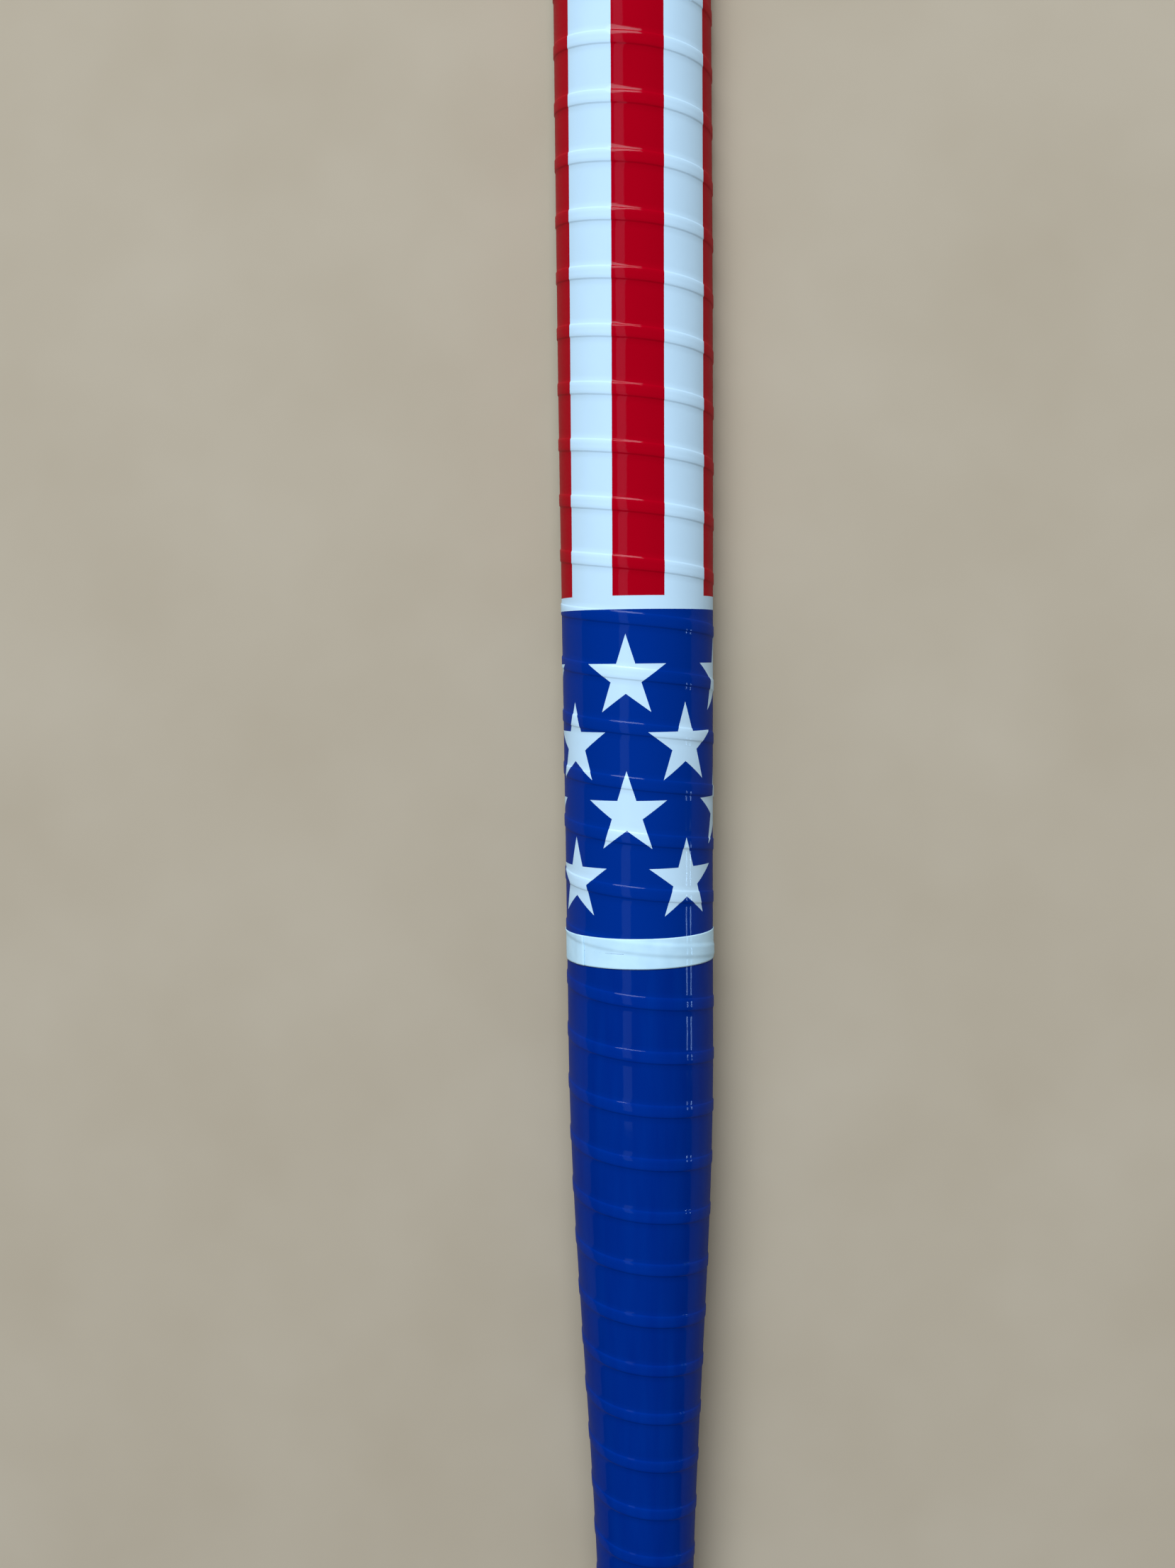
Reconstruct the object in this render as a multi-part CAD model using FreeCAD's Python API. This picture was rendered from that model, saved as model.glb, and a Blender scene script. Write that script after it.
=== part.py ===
import FreeCAD, Part
import math
import os

from FreeCAD import Vector

# A spliced wooden field hockey stick: a mulberry head and shaft, a cane handle with rubber springs,
# a spiral of glass tape, printed films, a wrapped grip and a butt cap. It lies on its flat playing face
# with the rounded back up. Millimetres, +Y from the butt to the head, +Z up out of the rounded back.
# Distances along the stick are counted from the butt and follow the centre line round the hook.

# Whole stick
stick_length = 927.0
shaft_half_width = 21.5
neck_half_width = 20.2
handle_half_width = 13.2
flat_depth = 3.2
corner_radius = 4.0

# Taper of the shaft into the handle, and the long slight swell towards the head
taper_start, taper_end = 285.0, 468.0
swell_start, swell_end = 440.0, 700.0
flat_start, flat_end = 330.0, 520.0
bow_start, bow_end = 300.0, 790.0
handle_flat = 0.3
handle_corner = 10.0

# Hook of the head: the same section carried round a bend, a short straight toe and a round end
hook_radius = 37.0
hook_turn = 160.0
toe_straight = 11.0

# Layers, counted inwards from the finished surface
film_depth = 0.4
wood_depth = 1.2
whipping_depth = 1.9
ring_height = 0.3

# Where the pieces begin and end along the stick
wood_start = 4.0
blade_start = 330.0
wedge_tip = 500.0
wedge_tip_half = 1.5
wedge_root_half = 13.6
whipping_start, whipping_end = 348.0, 392.0
sock_start = 815.0
film_joint = 494.5
ring_start, ring_end = 490.4, 498.6

# Laminations: mulberry strips side by side, cane strips and rubber sheets face to face
strip_count = 8
strip_width = 5.1
outer_strip_start = 402.0
cane_count = 4
cane_thickness = 5.5
rubber_thickness = 1.2
spring_end = 430.0

# Grip, its collar and the butt cap
grip_radius = 16.5
cushion_radius = 14.8
grip_end = 292.0
grip_shoulder = 280.0
shoulder_radius = 15.9
cushion_start, cushion_end = 16.0, 288.0
collar_start, collar_end = 281.0, 300.0
collar_radius = 16.3
collar_lip_radius = 13.9
cap_radius = 16.2
cap_round = 2.5

# Working space around the stick for cutting shapes, and the spacing of the sections of the shaft
clear = 30.0
station_step = 18.0

heel_base = stick_length - hook_radius - shaft_half_width
hook_centre = Vector(-hook_radius, heel_base, 0)
up = Vector(0, 0, 1)


def ease(value, start, end):
    # 0 before start, 1 after end, and an S-curve between them
    u = min(max((value - start) / (end - start), 0.0), 1.0)
    return u * u * (3.0 - 2.0 * u)


def mix(a, b, u):
    return a + (b - a) * u


def half_width(s):
    # half the shaft's width
    width = mix(handle_half_width, neck_half_width, ease(s, taper_start, taper_end))
    return width + (shaft_half_width - neck_half_width) * ease(s, swell_start, swell_end)


def flat_below(s):
    # distance from the centre of the round back down to the flat
    return mix(half_width(s) - handle_flat, flat_depth, ease(s, flat_start, flat_end))


def corner(s):
    return mix(handle_corner, corner_radius, ease(s, flat_start, flat_end))


def centre_height(s):
    # the grip and the head both lie on the ground, and the bow lifts the shaft between them
    return mix(grip_radius, flat_depth, ease(s, bow_start, bow_end))


def section(s, inset):
    # the D-shaped section square to the shaft: a flat, two small corner arcs and the round back
    radius = half_width(s) - inset
    depth = flat_below(s) - inset
    bend = corner(s) - inset
    middle = centre_height(s)
    reach = math.sqrt((radius - bend) ** 2 - (bend - depth) ** 2)
    rise = bend - depth
    out = radius / (radius - bend)
    middle_of_bend = (math.atan2(rise, reach) - math.pi / 2) / 2
    side = reach + bend * math.cos(middle_of_bend)
    side_height = middle + rise + bend * math.sin(middle_of_bend)
    flat_left = Vector(-reach, s, middle - depth)
    flat_right = Vector(reach, s, middle - depth)
    back_left = Vector(-reach * out, s, middle + rise * out)
    back_right = Vector(reach * out, s, middle + rise * out)
    return Part.Wire([
        Part.LineSegment(flat_left, flat_right).toShape(),
        Part.Arc(flat_right, Vector(side, s, side_height), back_right).toShape(),
        Part.Arc(back_right, Vector(0, s, middle + radius), back_left).toShape(),
        Part.Arc(back_left, Vector(-side, s, side_height), flat_left).toShape(),
    ])


def spread(start, end, step):
    # evenly spaced stations from start to end, both included
    count = max(1, round((end - start) / step))
    return [start + (end - start) * i / count for i in range(count + 1)]


def shaft(inset, start, end):
    # lofted where the section changes and straight from the end of the bow to the head
    solids = []
    if start < bow_end:
        sections = [section(s, inset) for s in spread(start, min(end, bow_end), station_step)]
        solids.append(Part.makeLoft(sections, True, False))
    if end > bow_end:
        first = max(start, bow_end)
        solids.append(Part.Face(section(first, inset)).extrude(Vector(0, end - first, 0)))
    return solids


def head(inset):
    # the section carried on from the sock's edge, round the hook and along the toe to a round end
    straight = Part.Face(section(sock_start, inset)).extrude(Vector(0, heel_base - sock_start, 0))
    heel = Part.Face(section(heel_base, inset))
    bend = heel.revolve(hook_centre, up, hook_turn)
    toe = heel.extrude(Vector(0, toe_straight, 0))
    end = heel_base + toe_straight
    right_side = Part.makeBox(clear, clear, 2 * clear, Vector(0, end - clear / 2, -clear))
    half_section = Part.Face(section(end, inset)).common(right_side)
    nose = half_section.revolve(Vector(0, end, 0), up, 180)
    for piece in (toe, nose):
        piece.rotate(hook_centre, up, hook_turn)
    return [straight, bend, toe, nose]


def envelope(inset, start, with_head=True, end=sock_start):
    # the stick's solid outer shape from start to end, moved inwards by inset
    solids = shaft(inset, start, end) if start < sock_start else []
    if with_head:
        solids += head(inset)
    whole = solids[0].multiFuse(solids[1:]) if len(solids) > 1 else solids[0]
    return one_solid(whole.removeSplitter())


def one_solid(shape):
    # the single largest solid of a boolean result, without stray slivers
    return max(shape.Solids, key=lambda solid: solid.Volume)


def round_bar(radius, start, end):
    base = Vector(0, start, grip_radius)
    return Part.makeCylinder(radius, end - start, base, Vector(0, 1, 0))


def strip_band(inner, outer):
    # the plan of one bent strip between two lines parallel to the centre line, extruded through the stick
    a = math.radians(hook_turn)
    along = Vector(-math.sin(a), math.cos(a), 0)
    reach = toe_straight + 2 * clear

    def side(u):
        def on_hook(angle):
            return hook_centre + Vector(math.cos(angle), math.sin(angle), 0) * (hook_radius + u)

        start = Vector(u, blade_start, 0)
        bend = Part.Arc(on_hook(0), on_hook(a / 2), on_hook(a))
        run = Part.LineSegment(start, on_hook(0))
        tail = Part.LineSegment(on_hook(a), on_hook(a) + along * reach)
        return [run.toShape(), bend.toShape(), tail.toShape()], start, on_hook(a) + along * reach

    inner_edges, inner_start, inner_end = side(inner)
    outer_edges, outer_start, outer_end = side(outer)
    ends = [
        Part.LineSegment(inner_start, outer_start).toShape(),
        Part.LineSegment(inner_end, outer_end).toShape(),
    ]
    wire = Part.Wire(Part.__sortEdges__(inner_edges + outer_edges + ends))
    band = Part.Face(wire).extrude(Vector(0, 0, 3 * clear))
    band.translate(Vector(0, 0, -clear))
    return band


def cane_layer(low, high):
    # a sheet that follows the bow of the stick between two heights about the centre line
    stations = spread(-clear, wedge_tip + clear, station_step)

    def line(offset):
        curve = Part.BSplineCurve()
        curve.interpolate([Vector(-clear, s, centre_height(s) + offset) for s in stations])
        return curve.toShape()

    bottom, top = line(low), line(high)
    sides = []
    for s in (stations[0], stations[-1]):
        middle = centre_height(s)
        a, b = Vector(-clear, s, middle + low), Vector(-clear, s, middle + high)
        sides.append(Part.LineSegment(a, b).toShape())
    wire = Part.Wire(Part.__sortEdges__([bottom, top] + sides))
    return Part.Face(wire).extrude(Vector(2 * clear, 0, 0))


def splice_wedge():
    # plan of the cane: full width in the handle, then a long wedge into the fork of the blade
    corners = [
        Vector(-clear, 0, -clear),
        Vector(clear, 0, -clear),
        Vector(clear, blade_start, -clear),
        Vector(wedge_root_half, blade_start, -clear),
        Vector(wedge_tip_half, wedge_tip, -clear),
        Vector(-wedge_tip_half, wedge_tip, -clear),
        Vector(-wedge_root_half, blade_start, -clear),
        Vector(-clear, blade_start, -clear),
    ]
    return Part.Face(Part.makePolygon(corners + corners[:1])).extrude(Vector(0, 0, 3 * clear))


def turned(profile):
    # a round piece from its radius and distance pairs, turned about the handle's axis
    axis = Vector(0, 0, grip_radius)
    points = [Vector(radius, s, grip_radius) for radius, s in profile]
    face = Part.Face(Part.makePolygon(points + points[:1]))
    return face.revolve(axis, Vector(0, 1, 0), 360)


def grip_body():
    # outer shape of the grip tape, stepped down where the collar laps over it
    return turned([
        (0, wood_start),
        (grip_radius, wood_start),
        (grip_radius, grip_shoulder),
        (shoulder_radius, grip_shoulder),
        (shoulder_radius, grip_end),
        (0, grip_end),
    ])


def collar_body():
    return turned([
        (0, collar_start),
        (collar_radius, collar_start),
        (collar_radius, grip_end),
        (collar_lip_radius, collar_end),
        (0, collar_end),
    ])


def butt_cap(handle_shape):
    # a moulded cap: a rounded end disc and a skirt that the grip tape covers
    disc = round_bar(cap_radius, 0, wood_start)
    rim = [e for e in disc.Edges if e.Length > cap_radius and e.CenterOfMass.y < wood_start / 2]
    disc = disc.makeFillet(cap_round, [e for e in rim if e.isClosed()])
    skirt = round_bar(cushion_radius, wood_start, cushion_start)
    return disc.fuse(skirt.cut(handle_shape)).removeSplitter()


def along_block(start, end):
    # everything between two distances from the butt
    return Part.makeBox(8 * clear, end - start, 4 * clear, Vector(-4 * clear, start, -clear))


def mulberry_strips(blade):
    # side by side across the stick; the two outermost run out where the shaft narrows, and their
    # neighbours fill the rest
    strips = {}
    edge = strip_width * strip_count / 2
    narrow = blade.common(along_block(0, outer_strip_start))
    wide = blade.common(along_block(outer_strip_start, stick_length + clear))
    for number in range(strip_count):
        inner = number * strip_width - edge
        outer = inner + strip_width
        inner -= strip_width if number == 0 else 0
        outer += strip_width if number == strip_count - 1 else 0
        strip = wide.common(strip_band(inner, outer))
        if 0 < number < strip_count - 1:
            inner -= 2 * strip_width if number == 1 else 0
            outer += 2 * strip_width if number == strip_count - 2 else 0
            strip = strip.fuse(narrow.common(strip_band(inner, outer))).removeSplitter()
        strips[f"mulberry_strip_{number + 1}"] = strip
    return strips


def handle_layers(cane):
    # canes face to face with rubber sheets between them; past the springs the canes meet directly,
    # and the lowest cane has run out against the flat
    layers = {}
    pitch = cane_thickness + rubber_thickness
    middle = (cane_count - 1) / 2
    sprung = cane.common(along_block(0, spring_end))
    wedge_end = cane.common(along_block(spring_end, wedge_tip + clear))
    for number in range(cane_count):
        low = (number - middle) * pitch - cane_thickness / 2
        high = low + cane_thickness
        if number < cane_count - 1:
            sheet = cane_layer(high, high + rubber_thickness)
            layers[f"rubber_spring_{number + 1}"] = sprung.common(sheet)
        low = -clear if number == 0 else low
        high = clear if number == cane_count - 1 else high
        layer = sprung.common(cane_layer(low, high))
        if number > 0:
            low = -clear if number == 1 else (number - middle - 0.5) * pitch
            high = clear if number == cane_count - 1 else (number - middle + 0.5) * pitch
            layer = layer.fuse(wedge_end.common(cane_layer(low, high))).removeSplitter()
        layers[f"handle_cane_{number + 1}"] = layer
    return layers


def build():
    parts = {}
    wood = envelope(wood_depth, wood_start)
    tape_shape = envelope(film_depth, wood_start, False)
    film_shape = envelope(0.0, grip_end, False)

    lashed_wood = envelope(whipping_depth, whipping_start - clear, False, whipping_end + clear)
    sleeve = along_block(whipping_start, whipping_end).cut(lashed_wood)
    parts["splice_whipping"] = wood.common(sleeve)
    timber = wood.cut(sleeve)

    wedge = splice_wedge()
    parts.update(mulberry_strips(timber.cut(wedge)))
    parts.update(handle_layers(timber.common(wedge)))

    parts["glass_tape_wrap"] = tape_shape.cut(envelope(wood_depth, wood_start, False))
    parts["head_glass_sock"] = envelope(0.0, sock_start).cut(envelope(wood_depth, sock_start))
    flag_shape = envelope(0.0, film_joint, False)
    parts["flag_film"] = flag_shape.cut(envelope(film_depth, film_joint, False))
    blue_shape = envelope(0.0, grip_end, False, film_joint)
    parts["blue_film"] = blue_shape.cut(envelope(film_depth, grip_end, False, film_joint))
    ring_shape = envelope(-ring_height, ring_start, False, ring_end)
    parts["white_ring_band"] = ring_shape.cut(envelope(0.0, ring_start, False, ring_end))

    cushion = round_bar(cushion_radius, cushion_start, cushion_end)
    parts["grip_cushion"] = cushion.cut(tape_shape)
    core = round_bar(cushion_radius, wood_start, cushion_end)
    parts["grip_tape"] = grip_body().cut(core).cut(tape_shape)
    parts["grip_collar"] = collar_body().cut(grip_body()).cut(film_shape)
    parts["butt_cap"] = butt_cap(tape_shape)
    return {name: one_solid(shape) for name, shape in parts.items()}


def origin_of(parts):
    # the middle of the whole stick's box, on the ground
    box = Part.makeCompound(list(parts.values())).optimalBoundingBox(False, False)
    return Vector((box.XMin + box.XMax) / 2, (box.YMin + box.YMax) / 2, 0)


os.makedirs("parts", exist_ok=True)
stick = build()
origin = origin_of(stick)
print("shaft axis and butt in the stick's own frame:", -origin.x, -origin.y)
for name, shape in stick.items():
    shape.translate(-origin)
    shape.exportStep(f"parts/{name}.step")
    print(name, "valid" if shape.isValid() else "INVALID", round(shape.Volume / 1000, 2), "cm3")
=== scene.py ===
import bmesh
import bpy
import math
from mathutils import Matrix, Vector


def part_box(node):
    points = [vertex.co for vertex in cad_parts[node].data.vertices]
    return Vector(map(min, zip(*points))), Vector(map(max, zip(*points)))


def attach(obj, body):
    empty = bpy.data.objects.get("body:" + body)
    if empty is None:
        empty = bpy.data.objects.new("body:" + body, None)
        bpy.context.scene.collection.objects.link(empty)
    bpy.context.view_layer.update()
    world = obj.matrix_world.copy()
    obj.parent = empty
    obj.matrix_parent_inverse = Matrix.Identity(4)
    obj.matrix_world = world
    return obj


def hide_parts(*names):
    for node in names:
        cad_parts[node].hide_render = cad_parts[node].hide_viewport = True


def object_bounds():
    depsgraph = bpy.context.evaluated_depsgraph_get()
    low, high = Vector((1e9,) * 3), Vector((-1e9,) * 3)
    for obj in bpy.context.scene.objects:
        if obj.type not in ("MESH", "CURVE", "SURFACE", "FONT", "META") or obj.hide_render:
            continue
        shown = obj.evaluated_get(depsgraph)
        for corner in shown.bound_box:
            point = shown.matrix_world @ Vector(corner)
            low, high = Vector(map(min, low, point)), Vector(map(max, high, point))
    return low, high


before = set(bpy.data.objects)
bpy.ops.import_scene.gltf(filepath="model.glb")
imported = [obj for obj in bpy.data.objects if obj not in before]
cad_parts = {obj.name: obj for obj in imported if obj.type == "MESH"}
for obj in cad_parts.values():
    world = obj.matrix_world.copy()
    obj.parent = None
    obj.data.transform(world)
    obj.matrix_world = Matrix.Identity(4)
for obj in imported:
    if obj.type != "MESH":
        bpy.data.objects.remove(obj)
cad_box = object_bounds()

# Mulberry strips
# Eight long strips of mulberry, steamed, bent together round the head's former and glued side by side.
# They run from the toe, round the hook and up the shaft, where a fork takes the cane handle.
mm = 0.001


def linear(hex_colour):
    # an sRGB hex colour as the linear colour that the shaders use
    parts = [int(hex_colour[i:i + 2], 16) / 255 for i in (0, 2, 4)]
    return tuple(p / 12.92 if p <= 0.04045 else ((p + 0.055) / 1.055) ** 2.4 for p in parts) + (1.0,)


def add_node(tree, kind, settings=None, inputs=None):
    # one node with its settings, and its inputs given as values or as the sockets that feed them
    node = tree.nodes.new(kind)
    for key, value in (settings or {}).items():
        setattr(node, key, value)
    for key, value in (inputs or {}).items():
        if isinstance(value, bpy.types.NodeSocket):
            tree.links.new(value, node.inputs[key])
        else:
            node.inputs[key].default_value = value
    return node


def new_finish(name, roughness, ior):
    finish = bpy.data.materials.new(name)
    finish.use_nodes = True
    shader = finish.node_tree.nodes["Principled BSDF"]
    shader.inputs["Roughness"].default_value = roughness
    shader.inputs["IOR"].default_value = ior
    return finish, finish.node_tree, shader


def grain(tree, across, along, detail=3.0):
    # noise whose marks are so many millimetres wide across the stick and so many long
    spot = add_node(tree, "ShaderNodeTexCoord").outputs["Object"]
    stretched = add_node(tree, "ShaderNodeVectorMath", {"operation": "MULTIPLY"},
                         {0: spot, 1: (1 / (across * mm), 1 / (along * mm), 1 / (across * mm))})
    return add_node(tree, "ShaderNodeTexNoise", {},
                    {"Vector": stretched.outputs[0], "Scale": 1.0, "Detail": detail}).outputs[0]


def two_tone(tree, share, low_share, high_share, low_colour, high_colour):
    # goes from one colour to the other as a pattern's value rises between two limits
    part = add_node(tree, "ShaderNodeMapRange", {},
                    {"Value": share, "From Min": low_share, "From Max": high_share}).outputs[0]
    return add_node(tree, "ShaderNodeMix", {"data_type": "RGBA"},
                    {0: part, 6: low_colour, 7: high_colour}).outputs[2]


def relief(tree, shader, height, depth, strength, coat=False):
    # a raised pattern so many millimetres deep
    bump = add_node(tree, "ShaderNodeBump", {},
                    {"Strength": strength, "Distance": depth * mm, "Height": height}).outputs[0]
    tree.links.new(bump, shader.inputs["Normal"])
    if coat:
        tree.links.new(bump, shader.inputs["Coat Normal"])


def bare_wood(name, early, late, pore, figure_width, pore_width, pore_length):
    # planed wood, glued but not varnished: a matt face with long streaks and short dark pores along it
    finish, tree, shader = new_finish(name, roughness=0.62, ior=1.5)
    streak_length = 60 * figure_width
    figure = grain(tree, figure_width, streak_length)
    streaks = two_tone(tree, figure, 0.38, 0.62, linear(early), linear(late))
    pores = grain(tree, pore_width, pore_length, 2.0)
    marked = two_tone(tree, pores, 0.60, 0.70, streaks, linear(pore))
    tree.links.new(marked, shader.inputs["Base Color"])
    relief(tree, shader, pores, depth=0.1, strength=0.3)
    return finish


def coat(start, *finishes):
    # gives the designed pieces whose names begin so their finishes, turn and turn about
    for count, name in enumerate(sorted(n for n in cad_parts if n.startswith(start))):
        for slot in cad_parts[name].material_slots:
            slot.material = finishes[count % len(finishes)]


light_mulberry = bare_wood("mulberry_sapwood_planed", "D9B77C", "C79A58", "8A5F30",
                           figure_width=1.4, pore_width=0.35, pore_length=5.0)
dark_mulberry = bare_wood("mulberry_heartwood_planed", "B98546", "9A6630", "5E3A1A",
                          figure_width=1.1, pore_width=0.35, pore_length=6.0)
coat("mulberry_strip_", light_mulberry, dark_mulberry)

# Handle canes
# Four flat strips of manau cane, glued into the fork of the blade as a long wedge. Cane is all long
# fibres, so it is paler and more finely streaked than the mulberry.
manau_cane = bare_wood("manau_cane_split", "E3C88E", "CFAE6C", "9C7A40",
                       figure_width=0.7, pore_width=0.18, pore_length=14.0)
coat("handle_cane_", manau_cane)

# Rubber springs
# Three sheets of vulcanised natural rubber, glued between the canes to soften the blow in the hands.
# Black and dull, with the fine dusty bloom that pressed sheet has.
bloom_patch, press_mark = 2.5, 0.25
pressed_rubber, tree, shader = new_finish("natural_rubber_pressed_sheet", roughness=0.78, ior=1.52)
bloom = grain(tree, bloom_patch, bloom_patch)
tree.links.new(two_tone(tree, bloom, 0.35, 0.7, linear("17181A"), linear("2B2C2E")),
               shader.inputs["Base Color"])
relief(tree, shader, grain(tree, press_mark, press_mark), depth=0.05, strength=0.5)
coat("rubber_spring_", pressed_rubber)

# Splice whipping
# Waxed linen thread, wound tightly over the root of the splice before the glass tape goes on.
# Close round turns, painted lighter on the crown of each, a painted highlight, and darker where they meet,
# painted shade.
thread_pitch = 0.9
waxed_thread, tree, shader = new_finish("linen_thread_waxed", roughness=0.5, ior=1.48)
spot = add_node(tree, "ShaderNodeTexCoord").outputs["Object"]
along_stick = add_node(tree, "ShaderNodeSeparateXYZ", {}, {0: spot}).outputs["Y"]
phase = add_node(tree, "ShaderNodeMath", {"operation": "MULTIPLY"},
                 {0: along_stick, 1: math.pi / (thread_pitch * mm)}).outputs[0]
wave = add_node(tree, "ShaderNodeMath", {"operation": "SINE"}, {0: phase}).outputs[0]
crown = add_node(tree, "ShaderNodeMath", {"operation": "ABSOLUTE"}, {0: wave}).outputs[0]
# lighter on the crown of each turn is a painted highlight, darker between the turns is painted shade
tree.links.new(two_tone(tree, crown, 0.1, 0.7, linear("4F3B22"), linear("A98B5A")),
               shader.inputs["Base Color"])
relief(tree, shader, crown, depth=0.3, strength=0.8)
coat("splice_whipping", waxed_thread)

# Glass tape wrap
# A ribbon of woven glass, wound in a spiral over the whole shaft and handle and set in clear resin.
# Pale amber and half glossy, with the square weave of its yarns showing through.
yarn_pitch = 1.1
glass_ribbon, tree, shader = new_finish("woven_glass_in_resin", roughness=0.32, ior=1.53)
spot = add_node(tree, "ShaderNodeTexCoord").outputs["Object"]
phases = add_node(tree, "ShaderNodeVectorMath", {"operation": "SCALE"},
                  {0: spot, "Scale": math.pi / (yarn_pitch * mm)}).outputs[0]
waves = add_node(tree, "ShaderNodeVectorMath", {"operation": "SINE"}, {0: phases}).outputs[0]
ways = add_node(tree, "ShaderNodeSeparateXYZ", {}, {0: waves}).outputs
weave = add_node(tree, "ShaderNodeMath", {"operation": "MULTIPLY"}, {0: ways["X"], 1: ways["Y"]}).outputs[0]
tree.links.new(two_tone(tree, weave, -0.6, 0.6, linear("A89C7E"), linear("CFC6AC")),
               shader.inputs["Base Color"])
relief(tree, shader, weave, depth=0.08, strength=0.6)
coat("glass_tape_wrap", glass_ribbon)

# Striped and starred film
# A printed polyester film, put on over the glass tape, shrunk tight and lacquered. Every turn of the
# tape below lies a little over the one before it, and the doubled band shows as a low spiral ridge.
cap_low, cap_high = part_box("butt_cap")
butt = cap_low[1] / mm
axis = (cap_low[0] + cap_high[0]) / 2 / mm
grip_low, grip_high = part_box("grip_tape")
grip_centre = (grip_low[2] + grip_high[2]) / 2 / mm
film_low, film_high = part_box("flag_film")
film_start, film_end = film_low[1] / mm - butt, film_high[1] / mm - butt
shaft_half = (film_high[0] - film_low[0]) / 2 / mm
handle_half, neck_half = 13.2, 20.2
flat_depth, handle_flat = 3.2, 0.3
shaft_corner, handle_corner = 4.0, 10.0
# the stretches of the shaft, from the butt, over which each of its changes of section takes place
flattens, tapers, widens, rises = (330, 520), (285, 468), (440, 700), (300, 790)
# points nearer than this are one point, and a stretch shorter than the last value has no faces
film_thickness, touching, no_length = 0.4, 0.002, 0.0001


def ease(value, start, end):
    u = min(max((value - start) / (end - start), 0.0), 1.0)
    return u * u * (3.0 - 2.0 * u)


def mix(a, b, u):
    return a + (b - a) * u


class Section:
    # the stick's D-shaped section at a distance from the butt: a round back, two corners and a flat
    def __init__(self, place):
        d_shape = ease(place, *flattens)
        self.radius = mix(handle_half, neck_half, ease(place, *tapers))
        self.radius += (shaft_half - neck_half) * ease(place, *widens)
        self.depth = mix(self.radius - handle_flat, flat_depth, d_shape)
        self.bend = mix(handle_corner, shaft_corner, d_shape)
        self.height = mix(grip_centre, flat_depth, ease(place, *rises))
        self.rise = self.bend - self.depth
        self.reach = math.sqrt((self.radius - self.bend) ** 2 - self.rise ** 2)
        self.edge = math.atan2(self.rise, self.reach)
        self.back = self.radius * (math.pi / 2 - self.edge)
        self.corner = self.bend * (math.pi / 2 + self.edge)
        self.half_girth = self.back + self.corner + self.reach

    def stations(self, back_steps=36, corner_steps=8, flat_steps=10):
        # distances round from the top of the back to the middle of the flat, both ways
        rounds = [self.back * i / back_steps for i in range(back_steps)]
        rounds += [self.back + self.corner * i / corner_steps for i in range(corner_steps)]
        rounds += [self.back + self.corner + self.reach * i / flat_steps for i in range(flat_steps + 1)]
        return [-r for r in reversed(rounds[1:])] + rounds

    def point(self, around, lift=0.0):
        # how far across and up from the centre of the back the surface is, that far round it
        side, far = math.copysign(1, around), abs(around)
        if far <= self.back:
            angle = far / self.radius
            radius = self.radius + lift
            return side * radius * math.sin(angle), radius * math.cos(angle)
        if far <= self.back + self.corner:
            angle = self.edge - (far - self.back) / self.bend
            bend = self.bend + lift
            return side * (self.reach + bend * math.cos(angle)), self.rise + bend * math.sin(angle)
        return side * (self.reach - (far - self.back - self.corner)), -self.depth - lift

    def turn(self, around):
        # the share of a full turn that a tape has made there
        far = abs(around)
        back_share = self.back / self.radius / (2 * math.pi)
        if far <= self.back:
            share = back_share * far / self.back
        else:
            share = mix(back_share, 0.5, (far - self.back) / (self.half_girth - self.back))
        return math.copysign(share, around)


# the tape's turns are counted from the last one under the stripes; they close up towards the handle
first_turn, upper_pitch, middle_pitch, lower_pitch, middle_turns = 596.8, 15.13, 14.6, 13.82, 14
# shares of a turn: how much of it is doubled, how wide the doubled band's edges are, and where rows of
# points lie in it, close together at both edges
lap_share, lap_edge = 0.22, 0.018
edge_rows = (-1, -0.4, 0.4, 1)
lap_rows = [lap_edge * k for k in edge_rows]
lap_rows += [lap_share * k for k in (0.35, 0.62)]
lap_rows += [lap_share + lap_edge * k for k in edge_rows]
lap_rows += [0.33, 0.42, 0.51, 0.60, 0.69, 0.78, 0.87]


def tape_place(turn):
    if turn >= 0:
        return first_turn + upper_pitch * turn
    if turn >= -middle_turns:
        return first_turn + middle_pitch * turn
    return first_turn - middle_pitch * middle_turns + lower_pitch * (turn + middle_turns)


def new_piece(name, mesh):
    # a finished mesh as an object, with its doubled points merged
    bmesh.ops.remove_doubles(mesh, verts=mesh.verts, dist=touching * mm)
    bmesh.ops.dissolve_degenerate(mesh, edges=mesh.edges, dist=touching * mm)
    bmesh.ops.delete(mesh, geom=[v for v in mesh.verts if not v.link_faces], context="VERTS")
    data = bpy.data.meshes.new(name)
    mesh.to_mesh(data)
    mesh.free()
    piece = bpy.data.objects.new(name, data)
    bpy.context.scene.collection.objects.link(piece)
    return piece


def join_rows(mesh, low, high, uv):
    # faces between two rows of points, each a vertex with its distances round and along the stick
    for k in range(len(low) - 1):
        corners = [low[k], low[k + 1], high[k + 1], high[k]]
        if max(c[2] for c in corners) - min(c[2] for c in corners) < no_length * mm:
            continue
        face = mesh.faces.new([c[0] for c in corners])
        face.smooth = True
        for loop, corner in zip(face.loops, corners):
            loop[uv].uv = corner[1:]


def share_of_turn(turn):
    # how far into its turn a point is, counted so that the step back lies well away from the lap
    return (turn + 0.4) % 1 - 0.4


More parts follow.
